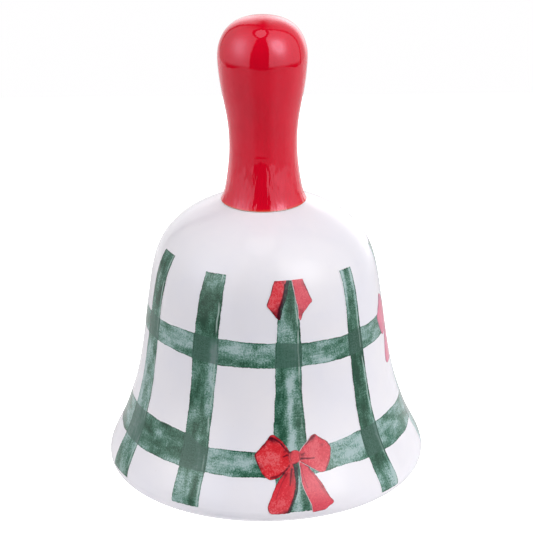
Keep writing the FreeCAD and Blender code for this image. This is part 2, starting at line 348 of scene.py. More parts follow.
def finish_white(mat, pos, color, bare=None):
    """White glaze surface under any colour; bare marks rough unglazed clay."""
    rough = glaze_rough(mat, pos, low=0.085, high=0.135)
    if bare is not None:
        rough = mat.mix(bare, rough, 0.75)
    return mat.finish(color=color, rough=rough, ior=1.52, normal=white_normal(mat, pos), spec=0.42)


def white_glaze():
    mat = Material("white_glaze")
    pos = mat.position()
    x, y, z = mat.split(pos)
    radius = mat.length(x, y)
    color = white_color(mat, pos)
    # the wiped foot ring and the hidden crown are bare bisque
    wobble = (mat.noise(pos, scale=0.5, detail=3, rough=0.6) - 0.5) * 0.35
    foot = mat.ease(z + wobble, span=(0.10, 0.22), to=DOWN)
    crown = (z > 87.80) * (radius < 12.85)
    hole = (z > 82.3) * (radius < 3.7)
    bare = mat.maximum(foot, mat.maximum(crown, hole))
    grain = mat.noise(pos, scale=3.0, detail=4, rough=0.7)
    bisque = mat.ramp(grain, [(0.25, linear(206, 196, 184)), (0.75, linear(228, 221, 211))])
    color = mat.mix(bare, color, bisque)
    # the glaze ends in a slightly darker, toasted line above the foot ring
    line = mat.ease(abs(z + wobble - 0.26), span=(0.0, 0.10), to=(0.5, 0.0))
    color = mat.mix(line, color, linear(196, 176, 156))
    return finish_white(mat, pos, color, bare)


def red_glaze():
    mat = Material("red_glaze")
    pos = mat.position()
    x, y, z = mat.split(pos)
    radius = mat.length(x, y)
    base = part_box("handle")[0].z / MM
    cloud = mat.noise(pos, scale=0.10, detail=3, rough=0.55)
    run = mat.noise(mat.stretch(pos, (1.0, 1.0, 0.18)), scale=0.55, detail=3, rough=0.55)
    color = mat.ramp(cloud * 0.6 + run * 0.4, [
        (0.30, (0.725, 0.0004, 0.0170)), (0.5, (0.780, 0.0006, 0.0190)),
        (0.72, (0.830, 0.0012, 0.0220))])
    # the glaze thins over the foot's edge and shows a lighter, orange line
    edge = z + (mat.noise(pos, scale=0.6, detail=2) - 0.5) * 0.5
    thin = mat.ease(edge, span=(base + 0.15, base + 0.75), to=(0.75, 0.0))
    color = mat.mix(thin, color, linear(226, 74, 52))
    # the inside of the hollow and the underside stay bare
    hollow = (radius < 7.3) * (z < 100.0)
    bare = mat.maximum(hollow, z < base + 0.03)
    color = mat.mix(bare, color, linear(214, 202, 190))
    rough = mat.mix(bare, glaze_rough(mat, pos, low=0.030, high=0.055), 0.8)
    # slow wave, slim runs where the glaze gathered above the foot, faint orange peel
    slow = mat.noise(pos, scale=0.085, detail=1, rough=0.4)
    runs = mat.noise(mat.stretch(pos, (1.0, 1.0, 0.22)), scale=0.40, detail=2)
    low = mat.ease(z + mat.noise(pos, scale=0.12, detail=1, rough=0.4) * 8.0,
                   span=(base + 11.0, base + 22.0), to=(1.0, 0.10))
    peel = mat.noise(pos, scale=1.8, detail=2)
    slim = mat.noise(mat.stretch(mat.offset(pos, (9.0, 2.0, 4.0)), (1.0, 1.0, 0.16)),
                     scale=0.85, detail=2)
    height = slow * 0.00010 + runs * low * 0.00036
    height = height + slim * low * 0.00009
    # a height that climbs over the lowest 16 mm of the flare
    height = height + mat.minimum(z - base, 16.0) * 0.000055
    height = height + peel * 0.0000018
    return mat.finish(tint=(1.0, 0.80, 1.0), color=color, rough=rough, ior=1.75,
                      normal=mat.bump(height), spec=0.5)


# ------------------------------------------------------------------ bisque, brass and wood
def bisque_clay(name, dark, light, scale=3.0):
    mat = Material(name)
    pos = mat.position()
    grain = mat.noise(pos, scale=scale, detail=4, rough=0.7)
    pit = mat.voronoi(pos, scale=scale * 0.7)
    color = mat.ramp(grain, [(0.25, dark), (0.75, light)])
    pitted = mat.ease(pit, span=(0.05, 0.16), to=(0.5, 0.0))
    color = mat.mix(pitted, color, tuple(v * 0.6 for v in dark))
    height = grain * 0.00006 - mat.ease(pit, span=(0.05, 0.2), to=DOWN) * 0.00005
    rough = mat.remap(grain, span=(0.3, 0.7), to=(0.72, 0.9))
    return mat.finish(color=color, rough=rough, normal=mat.bump(height), ior=1.45)


def brass(name):
    """Brass with draw lines along Z and patches of tarnish."""
    mat = Material(name)
    pos = mat.position()
    draw = mat.noise(mat.stretch(pos, (1.0, 1.0, 0.1)), scale=6.0, detail=3, rough=0.6)
    tarnish = mat.noise(pos, scale=0.35, detail=4, rough=0.6)
    color = mat.ramp(tarnish, [
        (0.30, (0.46, 0.27, 0.085)), (0.50, (0.70, 0.47, 0.17)), (0.75, (0.80, 0.58, 0.25))])
    drawn = mat.remap(draw, span=(0.35, 0.7), to=(0.0, 0.25))
    color = mat.mix(drawn, color, (0.36, 0.21, 0.07))
    rough = mat.remap(tarnish, span=(0.3, 0.7), to=(0.36, 0.20)) + draw * 0.08
    return mat.finish(color=color, rough=rough, metal=1.0, normal=mat.bump(draw * 0.000012))


def beech():
    mat = Material("beech")
    pos = mat.position()
    z = mat.split(pos)[2]
    warp = mat.noise(mat.stretch(pos, (1.0, 1.0, 0.25)), scale=0.12, detail=2, out=1)
    warp = mat.scaled(mat.vector("SUBTRACT", warp, (0.5, 0.5, 0.5)), 4.0)
    warped_x, warped_y, _ = mat.split(mat.offset(pos, warp))
    # growth rings round a pith that lies off to one side, axis along Z
    from_pith = mat.length(warped_x + 19.0, warped_y + 8.0)
    late = mat.ease(mat.math("FRACT", from_pith * 0.62), span=(0.55, 0.97))
    fibre = mat.noise(mat.stretch(pos, (1.0, 1.0, 0.06)), scale=3.2, detail=4, rough=0.65)
    # short dark ray flecks, typical of beech
    fleck = mat.noise(mat.stretch(pos, (1.0, 1.0, 0.22)), scale=2.3, detail=1)
    color = mat.ramp(late, [
        (0.0, linear(214, 176, 130)), (0.7, linear(196, 152, 104)), (1.0, linear(170, 122, 78))])
    fibrous = mat.remap(fibre, span=(0.35, 0.75), to=(0.0, 0.35))
    color = mat.mix(fibrous, color, linear(168, 124, 84))
    flecked = mat.ease(fleck, span=(0.64, 0.72), to=(0.0, 0.7))
    color = mat.mix(flecked, color, linear(132, 90, 56))
    # burnished lathe lines, and a worn belt where it strikes the wall
    lathe = mat.node("TexWave", {"Vector": mat.combine(0.0, 0.0, z), "Scale": 1.3,
                                 "Distortion": 0.4, "Detail": 2, "Detail Scale": 1.0},
                     "Fac", bands_direction="Z")
    belt = mat.ease(abs(z - 27.0), span=(1.0, 3.5), to=(0.35, 0.0))
    worn = belt * mat.noise(pos, scale=0.9, detail=3, rough=0.6)
    color = mat.mix(worn, color, linear(236, 226, 208))
    rough = mat.remap(fibre, span=(0.3, 0.7), to=(0.38, 0.52))
    return mat.finish(color=color, rough=rough, ior=1.45,
                      normal=mat.bump(fibre * 0.000020 + lathe * 0.000010))


# ------------------------------------------------------------------ painted colours
def green_wash(name, upright):
    """Watercolour wash: mottled pigment, a dark broken edge line, drybrush streaks, and a
    flat darker tone where stripes and bands cross.

    Point attributes, mm: edge_l, edge_r, edge_e (inside the side and end edges), cross
    (inside a crossing) and paint (across, along). tone shifts the wash darker.
    """
    mat = Material(name)
    pos = mat.position()
    paint = mat.offset(mat.attribute("paint", "Vector"), (0.0, 0.0, 0.0))
    left, right, end = [mat.attribute("edge_" + side) for side in "lre"]
    cross, bias = mat.attribute("cross"), mat.attribute("tone")
    # ragged edges: a fine and a slow wobble
    wobble = mat.noise(paint, scale=1.15, detail=4, rough=0.68) - 0.5
    slow = mat.noise(mat.offset(paint, (40.0, 3.0, 0.0)), scale=0.16, detail=1) - 0.5
    shift = wobble * 0.62 + slow * 0.70
    if upright:
        shift = shift - 0.05
    edge = mat.minimum(mat.minimum(left + shift, right - shift * 0.8), end + wobble * 0.8)
    mask = mat.ease(edge, span=(-0.06, 0.10))
    rim = (mat.ease(abs(edge - 0.16), span=(0.0, 0.26), to=DOWN)
           * mat.ease(mat.noise(paint, scale=0.55, detail=3, rough=0.7),
                      span=(0.36, 0.60), to=(0.10, 1.0)))
    # pigment density: grain, blots and brush marks
    fine = mat.noise(paint, scale=2.1, detail=5, rough=0.78)
    blot = mat.noise(mat.stretch(paint, (1.0, 0.45, 1.0)), scale=0.30, detail=3, rough=0.58)
    streak = mat.noise(mat.stretch(paint, (1.0, 0.10, 1.0)), scale=1.1, detail=3, rough=0.6)
    weave = mat.noise(mat.stretch(paint, (0.35, 1.4, 1.0)), scale=0.9, detail=2)
    density = bias
    for mottle, weight in ((blot, 1.7), (fine, 2.1), (streak, 0.45 if upright else 0.25),
                           (weave, 0.35)):
        density = density + (mottle - 0.5) * weight
    density = density + rim * 0.45
    color = mat.ramp(mat.remap(density, span=(0.0, 1.0)), [
        (0.00, linear(172, 196, 197)), (0.24, linear(133, 168, 162)),
        (0.46, linear(88, 132, 116)), (0.68, linear(57, 104, 84)), (1.00, linear(28, 71, 53))])
    # drybrush: a pale lane just inside the right edge, broken along its length
    if upright:
        lane = abs(right + slow * 0.9 - 0.80)
        lane = mat.ease(lane, span=(0.10, 0.34), to=DOWN)
        gate = mat.noise(mat.stretch(paint, (0.15, 0.30, 1.0)), scale=0.42, detail=2)
        gate = mat.ease(gate, span=(0.42, 0.55), to=(0.0, 0.75))
        color = mat.mix(lane * gate, color, linear(176, 200, 194))
    crossed = mat.ease(cross + wobble * 0.5, span=(-0.10, 0.14))
    mask = mat.maximum(mask, mat.remap(cross, span=(-0.30, 0.0)))
    flat = mat.ramp(mat.remap(fine * 0.75 + blot * 0.25, span=(0.44, 0.57)),
                    [(0.0, linear(24, 62, 48)), (1.0, linear(84, 122, 110))])
    color = mat.mix(crossed * 0.66, color, flat)
    color = mat.mix(mask, white_color(mat, pos), color)
    return finish_white(mat, pos, color)


def bow_glaze():
    mat = Material("bow_glaze")
    pos = mat.position()
    grain = mat.noise(pos, scale=2.4, detail=4, rough=0.7)
    grainy = mat.remap(grain, span=(0.35, 0.75), to=(0.0, 0.16))
    color = mat.mix(grainy, mat.attribute("paint_color", "Color"),
                    tuple(v * 0.55 for v in linear(190, 30, 44)))
    return finish_white(mat, pos, color)


# ------------------------------------------------------------------ painted shells
# a cell's four sides: (row, column) step to the neighbour, first and second corner
CELL_SIDES = [((-1, 0), (0, 0), (0, 1)), ((1, 0), (1, 1), (1, 0)),
              ((0, -1), (1, 0), (0, 0)), ((0, 1), (0, 1), (1, 1))]
# attribute type and field by the number of channels
LAYER_KINDS = {1: ("FLOAT", "value"), 3: ("FLOAT_VECTOR", "vector"), 4: ("FLOAT_COLOR", "color")}


def add_layers(mesh, used, layers):
    """Point attributes, the same on the outer and the inner face."""
    for name, grid in layers.items():
        channels = np.atleast_3d(grid).shape[2]
        kind, field = LAYER_KINDS[channels]
        owner = mesh.color_attributes if channels == 4 else mesh.attributes
        layer = owner.new(name, kind, "POINT")
        values = np.concatenate([grid[used], grid[used]])
        layer.data.foreach_set(field, values.ravel().astype(np.float32))


def add_bake_uvs(mesh, points, outer_loops):
    """The outer face fills the square; the hidden sides and back share a thin strip."""
    layer = mesh.uv_layers.new(name="OFBake")
    corners = np.zeros(len(mesh.loops), int)
    mesh.loops.foreach_get("vertex_index", corners)
    uv = points[corners].copy()
    uv[:outer_loops] = uv[:outer_loops] * [1.0, 0.94] + [0.0, 0.05]
    uv[outer_loops:] = uv[outer_loops:] * [1.0, 0.03] + [0.0, 0.005]
    layer.data.foreach_set("uv", uv.ravel().astype(np.float32))


def painted_shell(name, theta, z, lift, keep, layers, uvs, material):
    """A closed thin shell on the bell from a (rows, cols) grid of angles and heights.

    keep marks the cells that exist; layers maps attribute names to grids of values.
    """
    rows, cols = z.shape
    used = np.zeros((rows, cols), bool)
    used[:-1, :-1] |= keep
    used[1:, :-1] |= keep
    used[:-1, 1:] |= keep
    used[1:, 1:] |= keep
    count = int(used.sum())
    index = -np.ones((rows, cols), int)
    index[used] = np.arange(count)
    verts = np.concatenate([on_bell(theta, z, lift)[used], on_bell(theta, z, SINK)[used]])
    i, j = np.nonzero(keep)
    outer = np.stack([index[i, j], index[i, j + 1], index[i + 1, j + 1], index[i + 1, j]], 1)
    faces = [outer, outer[:, ::-1] + count]
    # walls along the outline, whose edges are sharp
    padded = np.pad(keep, 1)
    sharp = set()
    for (down, across), start, stop in CELL_SIDES:
        neighbour = padded[1 + down:rows + down, 1 + across:cols + across]
        i, j = np.nonzero(keep & ~neighbour)
        first = index[i + start[0], j + start[1]]
        second = index[i + stop[0], j + stop[1]]
        faces.append(np.stack([second, first, first + count, second + count], 1))
        pairs = np.sort(np.stack([first, second], 1), axis=1)
        sharp.update(map(tuple, np.concatenate([pairs, pairs + count]).tolist()))
    mesh = bpy.data.meshes.new(name)
    mesh.from_pydata(verts.tolist(), [], np.concatenate(faces).tolist())
    mesh.validate()
    mesh.polygons.foreach_set("use_smooth", [True] * len(mesh.polygons))
    ends = np.zeros(len(mesh.edges) * 2, int)
    mesh.edges.foreach_get("vertices", ends)
    flags = [tuple(sorted(pair)) in sharp for pair in ends.reshape(-1, 2).tolist()]
    mesh.edges.foreach_set("use_edge_sharp", flags)
    add_layers(mesh, used, layers)
    add_bake_uvs(mesh, np.concatenate([uvs[used], uvs[used]]), len(outer) * 4)
    shell = bpy.data.objects.new(name, mesh)
    bpy.context.scene.collection.objects.link(shell)
    mesh.materials.append(material)
    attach(shell, ROOT)


def green_shell(name, theta, z, lift, left, right, end, cross, tone, paint, uvs, material):
    """A full rectangular grid with the attributes the green wash reads."""
    keep = np.ones((z.shape[0] - 1, z.shape[1] - 1), bool)
    layers = {"edge_l": left, "edge_r": right, "edge_e": end, "cross": cross, "tone": tone,
              "paint": np.stack([*paint, np.zeros_like(z)], -1)}
    painted_shell(name, theta, z, lift, keep, layers, uvs, material)


# ------------------------------------------------------------------ the two green bands
# edges: (angle in degrees, height in mm), from the first seam once round
BANDS = [
    {"name": "low", "middle": 18.4,
     "tones": (0.54, 0.40, 0.33, 0.40, 0.46, 0.36, 0.44, 0.38, 0.46),
     "lower": [(-68.5, 14.9), (-47, 14.85), (-36, 14.75), (-27, 14.4), (-17, 14.3), (-2, 14.3),
               (12, 14.4), (24, 14.55), (28, 15.0), (48, 14.9), (58, 14.85), (88, 14.9),
               (166, 14.6), (291.5, 14.9)],
     "upper": [(-68.5, 25.0), (-60, 25.0), (-47, 24.9), (-36, 24.4), (-33, 24.3), (-27, 21.7),
               (-17, 21.7), (-2, 21.5), (12, 21.6), (20, 21.8), (28, 22.3), (32, 22.6),
               (51, 23.6), (58, 23.9), (70, 24.0), (88, 23.6), (125, 22.2), (166, 21.8),
               (203, 22.3), (245, 23.8), (291.5, 25.0)]},
    {"name": "high", "middle": 50.9,
     "tones": (0.26, 0.42, 0.42, 0.42, 0.36, 0.48, 0.34, 0.42, 0.38),
     "lower": [(-68.5, 48.2), (-53, 48.3), (-44.5, 47.85), (-36, 47.4), (-21, 46.9),
               (-2, 46.85), (22, 46.7), (34, 46.6), (38.5, 46.4), (53, 46.6), (62, 46.7),
               (88, 46.9), (166, 47.2), (245, 47.6), (291.5, 48.2)],
     "upper": [(-68.5, 55.2), (-53, 55.3), (-44.5, 55.65), (-36, 55.3), (-21, 54.95),
               (-2, 54.7), (8, 54.6), (14, 54.0), (22, 53.8), (34, 53.5), (38.5, 53.25),
               (47, 53.6), (53, 53.9), (57, 53.65), (70, 53.8), (88, 54.3), (166, 54.7),
               (245, 54.9), (291.5, 55.2)]},
]
# angles (degrees) where the runs of a band meet, under the stripes
SEAMS = [-68.5, -29.0, 11.0, 48.0, 87.0, 124.5, 165.5, 203.5, 245.5, 291.5]


def band_edge(band, side, theta):
    """Height (mm) of a band's lower or upper edge at theta (radians)."""
    degrees = np.degrees(theta)
    degrees = np.where(degrees < SEAMS[0], degrees + 360.0, degrees)
    angles, heights = zip(*band[side])
    return np.interp(degrees, angles, heights)


def make_band(name, band, start, stop, tone, seed, material):
    """One run of a band between two angles (degrees)."""
    radius = radius_at(band["middle"])
    cols = int(round(math.radians(stop - start) * radius / STRIP_STEP)) + 1
    angles = np.radians(np.linspace(start, stop, cols))
    lower, upper = band_edge(band, "lower", angles), band_edge(band, "upper", angles)
    height = upper - lower + 2 * BAND_MARGIN
    share = np.linspace(0, 1, int(round(height.max() / STRIP_STEP)) + 1)
    theta = np.repeat(angles[None, :], len(share), 0)
    z = (lower - BAND_MARGIN)[None, :] + share[:, None] * height[None, :]
    along = theta * radius
    noise = ValueNoise(300 + seed)
    ragged_lower = lower + 0.5 * (noise.layered(angles * 4.0 + 50, 2.0, 3) - 0.5)
    ragged_upper = upper + 0.5 * (noise.layered(angles * 4.0 + 90, 7.0, 3) - 0.5)
    tone = tone + 0.84 * (noise.layered(along * 0.12 + 20 * seed, z * 0.15, 3) - 0.5)
    uvs = np.stack([(theta - theta.min()) / (theta.max() - theta.min()),
                    np.repeat(share[:, None], cols, 1)], -1)
    green_shell(name, theta, z, LIFT_BAND, left=z - ragged_lower[None, :],
                right=ragged_upper[None, :] - z, end=np.full_like(z, 9.0),
                cross=np.full_like(z, -9.0), tone=tone, paint=(z, along + 200.0 * seed),
                uvs=uvs, material=material)


# ------------------------------------------------------------------ the nine green stripes
# Tone added to a stripe at (share, z): share of the width from the centre line (-0.5 left,
# 0.5 right), z in mm. Negative is paler. Each smoothstep names where a change starts and ends.
def tone_paler_left(share, z):
    left = smoothstep(-0.05, -0.30, share)
    return (-0.34 * left * smoothstep(48, 42, z) * smoothstep(22, 28, z) + 0.08
            - 0.34 * smoothstep(63, 57, z))


def tone_darker_top(share, z):
    top = smoothstep(52, 60, z)
    right = smoothstep(0.10, 0.30, share) * smoothstep(28, 34, z)
    lane = np.exp(-((share - 0.24) / 0.16) ** 2)
    return (0.22 * top - 0.30 * (1 - top) * right - 0.42 * smoothstep(67, 73, z)
            - 0.12 * (1 - top) - smoothstep(16, 12, z) * (0.34 - 0.50 * lane))


def tone_pale_middle(share, z):
    low = smoothstep(46, 40, z)
    middle = np.exp(-((share - 0.04) / 0.15) ** 2)
    top = smoothstep(56, 62, z)
    left = np.exp(-((share + 0.30) / 0.16) ** 2)
    return -0.52 * middle * low + 0.10 * (1 - middle) * low - 0.25 * top * left + 0.08 * top


def tone_pale_sides(share, z):
    top = smoothstep(55, 60, z)
    left = np.exp(-((share + 0.36) / 0.13) ** 2)
    upper_right = np.exp(-((share - 0.36) / 0.10) ** 2)
    lower_right = np.exp(-((share - 0.40) / 0.10) ** 2)
    return (-0.55 * top * left - 0.45 * smoothstep(52, 60, z) * upper_right
            - 0.40 * smoothstep(46, 40, z) * lower_right
            - 0.30 * smoothstep(13, 9, z) + 0.10 - 0.12 * top)


def tone_fading_left(share, z):
    return -0.62 * smoothstep(-0.02, -0.42, share)


# tone, tone function, stations (height in mm, left and right edge in degrees)
STRIPES = [
    (0.72, tone_paler_left,
     [(75.4, -71.6, -58.6), (62, -72.8, -61.2), (50, -73.4, -61.8), (38, -73.4, -61.4),
      (22, -73.4, -61.0), (12, -73.6, -60.8), (4.6, -73.2, -60.2)]),
    (0.62, tone_darker_top,
     [(74.3, -32.8, -20.9), (66, -34.3, -21.4), (57, -35.5, -22.5), (48, -36.0, -22.6),
      (40, -36.0, -23.2), (30, -35.8, -24.0), (22, -35.3, -24.1), (12, -35.6, -24.3),
      (4.4, -35.6, -24.6)]),
    (0.60, tone_pale_middle,
     [(73.0, 6.2, 16.4), (61, 5.9, 17.0), (52, 5.0, 17.0), (37, 3.9, 16.5), (25, 2.9, 16.9),
      (12, 3.4, 16.7), (4.4, 3.8, 16.4)]),
    (0.68, tone_pale_sides,
     [(72.9, 43.2, 51.8), (63, 43.6, 52.1), (54, 43.2, 52.0), (38, 43.2, 52.9),
      (28, 42.9, 52.7), (20, 43.0, 52.6), (10, 44.0, 53.8), (3.6, 45.5, 55.2)]),
    (0.52, tone_fading_left,
     [(74.0, 83.4, 96.0), (50, 85.0, 97.6), (25, 85.2, 97.4), (4.4, 85.0, 97.0)]),
    (0.62, tone_darker_top,
     [(73.6, 118.6, 131.6), (50, 117.4, 131.0), (25, 118.0, 130.2), (4.4, 118.4, 130.2)]),
    (0.52, tone_pale_middle,
     [(73.0, 160.6, 171.4), (50, 159.4, 172.0), (25, 159.0, 171.4), (4.4, 159.6, 171.6)]),
    (0.76, tone_pale_sides,
     [(73.2, 200.0, 207.6), (50, 199.4, 207.4), (25, 199.4, 208.0), (4.0, 201.4, 210.4)]),
    (0.60, tone_paler_left,
     [(74.2, 239.4, 252.8), (50, 238.8, 252.4), (25, 239.4, 251.6), (4.4, 240.0, 251.8)]),
]


def make_stripe(name, stations, tone, tone_change, seed, material):
    heights, lefts, rights = np.array(sorted(stations)).T
    bottom, top = heights[0], heights[-1]
    low, high = bottom - STRIPE_MARGIN, top + STRIPE_MARGIN
    levels = np.linspace(low, high, int(round((high - low) / STRIP_STEP)) + 1)

    def side(angles):
        """Edge angles (radians) at each level, with the table's corners softened."""
        padded = np.pad(np.interp(levels, heights, angles), 4, mode="edge")
        return np.radians(np.convolve(padded, np.ones(9) / 9.0, "valid"))

    left, right = side(lefts), side(rights)
    radii = radius_at(levels)
    width = (right - left) * radii
    cols = max(9, int(round((width.max() + 2 * STRIPE_MARGIN) / STRIP_STEP)) | 1)
    share = np.linspace(-1, 1, cols)
    across = (width / 2 + STRIPE_MARGIN)[:, None] * share[None, :]   # mm from the centre line
    theta = ((left + right) / 2)[:, None] + across / radii[:, None]
    z = np.repeat(levels[:, None], cols, 1)
    arc = np.concatenate([[0], np.cumsum(np.hypot(np.diff(levels), np.diff(radii)))])
    cross = np.full_like(across, -9.0)
    for band in BANDS:
        inside_band = np.minimum(z - band_edge(band, "lower", theta),
                                 band_edge(band, "upper", theta) - z)
        cross = np.maximum(cross, inside_band)
    noise = ValueNoise(100 + seed)
    cloud = noise.layered(across * 0.10 + seed, arc[:, None] * 0.055 + 3.1 * seed, 3)
    tone = tone + 0.60 * (cloud - 0.5) + tone_change(across / width[:, None], z)
    uvs = np.stack([np.broadcast_to((share + 1) / 2, across.shape),
                    np.repeat((arc / arc[-1])[:, None], cols, 1)], -1)
    green_shell(name, theta, z, LIFT_STRIPE, left=across + width[:, None] / 2,
                right=width[:, None] / 2 - across, end=np.minimum(z - bottom, top - z),
                cross=cross, tone=tone,
                paint=(across + 60.0 * seed, np.repeat(arc[:, None], cols, 1)),
                uvs=uvs, material=material)


# ------------------------------------------------------------------ outlines in the plane
def catmull(points, steps, closed):
    """Catmull-Rom curve through the points."""
    p = np.array(points, float)
    if closed:
        padded = np.concatenate([p[-1:], p, p[:2]])
    else:
        padded = np.concatenate([[2 * p[0] - p[1]], p, [2 * p[-1] - p[-2]]])
    curve = []
    for i in range(len(padded) - 3):
        p0, p1, p2, p3 = padded[i:i + 4]
        for t in np.linspace(0, 1, steps, endpoint=False):
            curve.append(0.5 * ((2 * p1) + (-p0 + p2) * t + (2 * p0 - 5 * p1 + 4 * p2 - p3) * t ** 2
                                + (-p0 + 3 * p1 - 3 * p2 + p3) * t ** 3))
    if not closed:
        curve.append(p[-1])
    return np.array(curve)


def line_distance(x, y, line, closed):
    """Distance to a polyline and the share along it."""
    best = np.full(x.shape, 1e9)
    share = np.zeros(x.shape)
    spans = len(line) if closed else len(line) - 1
    for i in range(spans):
        ax, ay = line[i]
        bx, by = line[(i + 1) % len(line)]
        dx, dy = bx - ax, by - ay
        t = np.clip(((x - ax) * dx + (y - ay) * dy) / (dx * dx + dy * dy + 1e-12), 0, 1)
        distance = np.hypot(x - ax - t * dx, y - ay - t * dy)
        nearer = distance < best
        best = np.where(nearer, distance, best)
        share = np.where(nearer, (i + t) / spans, share)
    return best, share


def inside(x, y, outline):
    """Even-odd test."""
    result = np.zeros(x.shape, bool)
    for (x1, y1), (x2, y2) in zip(outline, np.roll(outline, -1, axis=0)):
        crossing = (x2 - x1) * (y - y1) / (y2 - y1 + 1e-12) + x1
        result ^= ((y1 > y) != (y2 > y)) & (x < crossing)
    return result


# ------------------------------------------------------------------ the ribbon bows
RED = np.array(linear(238, 60, 68))
RED_LIGHT = np.array(linear(240, 120, 126))
RED_DEEP = np.array(linear(214, 36, 48))
PINK = np.array(linear(229, 93, 113))
MAROON = np.array(linear(66, 14, 34))
SLATE = np.array(linear(34, 48, 54))
MOSS = np.array(linear(62, 100, 84))
HALO = np.array(linear(232, 224, 230))
PALE = np.array(linear(238, 150, 186))

# closed outlines, (x, y) in mm from the knot; _l and _r are the left and right parts
WHOLE_BOW = {
    "tail_l": [(-1.22, -1.4), (-1.12, -3.9), (-0.95, -5.7), (-0.96, -7.7), (-1.46, -9.7),
               (-2.2, -11.5), (-3.2, -13.2), (-3.8, -14.9), (-4.4, -15.5), (-6.0, -15.6),
               (-8.0, -15.6), (-9.2, -15.4), (-10.0, -14.2), (-9.7, -12.6), (-8.5, -10.3),
               (-7.2, -7.8), (-5.7, -5.9), (-4.3, -4.4), (-3.1, -3.0), (-2.1, -1.6)],
    "tail_r": [(0.8, -1.2), (0.92, -3.6), (0.97, -5.5), (1.14, -7.3), (1.7, -9.3),
               (2.6, -11.5), (3.4, -13.4), (3.75, -15.6), (4.4, -15.9), (6.2, -15.8),
               (7.8, -15.6), (8.9, -14.8), (10.6, -13.8), (9.6, -12.2), (8.4, -10.2),
               (7.3, -8.0), (5.9, -6.0), (5.0, -4.9), (3.6, -3.3), (2.6, -2.3), (1.6, -1.3)],
    "loop_l": [(-1.9, 1.7), (-2.9, 3.4), (-4.0, 4.9), (-5.2, 6.0), (-6.4, 6.8), (-7.5, 6.6),
               (-8.4, 5.5), (-9.4, 4.4), (-11.0, 2.8), (-12.5, 1.2), (-12.4, -0.1),
               (-11.7, -2.0), (-10.8, -4.0), (-9.8, -5.3), (-8.7, -5.9), (-7.2, -5.7),
               (-5.8, -5.2), (-4.4, -4.2), (-2.9, -2.8), (-1.6, -1.4), (-1.5, 0.2)],
    "loop_r": [(1.0, 1.1), (2.0, 2.5), (3.1, 3.6), (4.3, 4.7), (5.3, 5.7), (6.4, 6.0),
               (7.4, 5.2), (8.4, 4.4), (9.7, 3.6), (10.7, 2.4), (11.2, 1.1), (11.0, -1.0),
               (10.4, -2.7), (9.5, -4.2), (8.6, -5.0), (7.4, -5.0), (6.1, -4.4), (4.6, -3.5),
               (3.1, -2.6), (2.1, -1.9), (1.0, -1.1)],
    "knot": [(-2.15, 1.15), (-1.2, 1.9), (0.0, 2.0), (1.15, 1.4), (1.3, 0.1), (0.7, -1.3),
             (-0.6, -1.8), (-1.75, -1.6), (-2.35, -0.3)],
    "shade": [(-1.6, -1.0), (0.1, -1.4), (0.35, -3.6), (0.15, -5.8), (0.0, -7.8),
              (-0.5, -9.8), (-1.3, -11.6), (-2.3, -13.3), (-3.0, -15.0), (-3.5, -15.6),
              (-4.6, -15.5), (-4.0, -13.6), (-2.6, -10.4), (-1.8, -7.0), (-1.7, -3.6)],
}
TAILS_ONLY = {
    "tail_l": [(-4.7, 9.0), (-4.0, 7.0), (-4.7, 5.5), (-5.4, 3.4), (-6.2, 1.5), (-6.6, 0.0),
               (-5.8, -1.2), (-4.9, -2.4), (-4.1, -3.6), (-3.45, -4.3), (-2.9, -4.1),
               (-3.0, -2.3), (-2.6, -0.6), (-1.85, 1.3), (-1.3, 3.5), (-0.9, 5.6),
               (-0.35, 7.2), (0.0, 9.0)],
    "tail_r": [(1.0, 9.0), (1.33, 7.1), (1.6, 5.2), (1.9, 3.3), (2.3, 0.95), (2.7, -1.1),
               (2.8, -2.4), (2.9, -4.3), (3.4, -4.8), (4.3, -2.9), (5.5, -1.5), (6.6, -0.3),
               (7.25, 0.4), (6.4, 2.6), (5.7, 4.4), (5.0, 6.2), (4.7, 7.2), (4.4, 9.0)],
    "shade": [(-0.5, 9.0), (0.6, 9.0), (0.5, 6.4), (-0.1, 3.6), (-0.9, 1.2), (-1.8, -1.0),
              (-2.3, -3.0), (-2.8, -4.4), (-3.3, -4.2), (-3.0, -2.0), (-2.4, 0.2),
              (-1.5, 3.0), (-0.9, 6.0)],
}


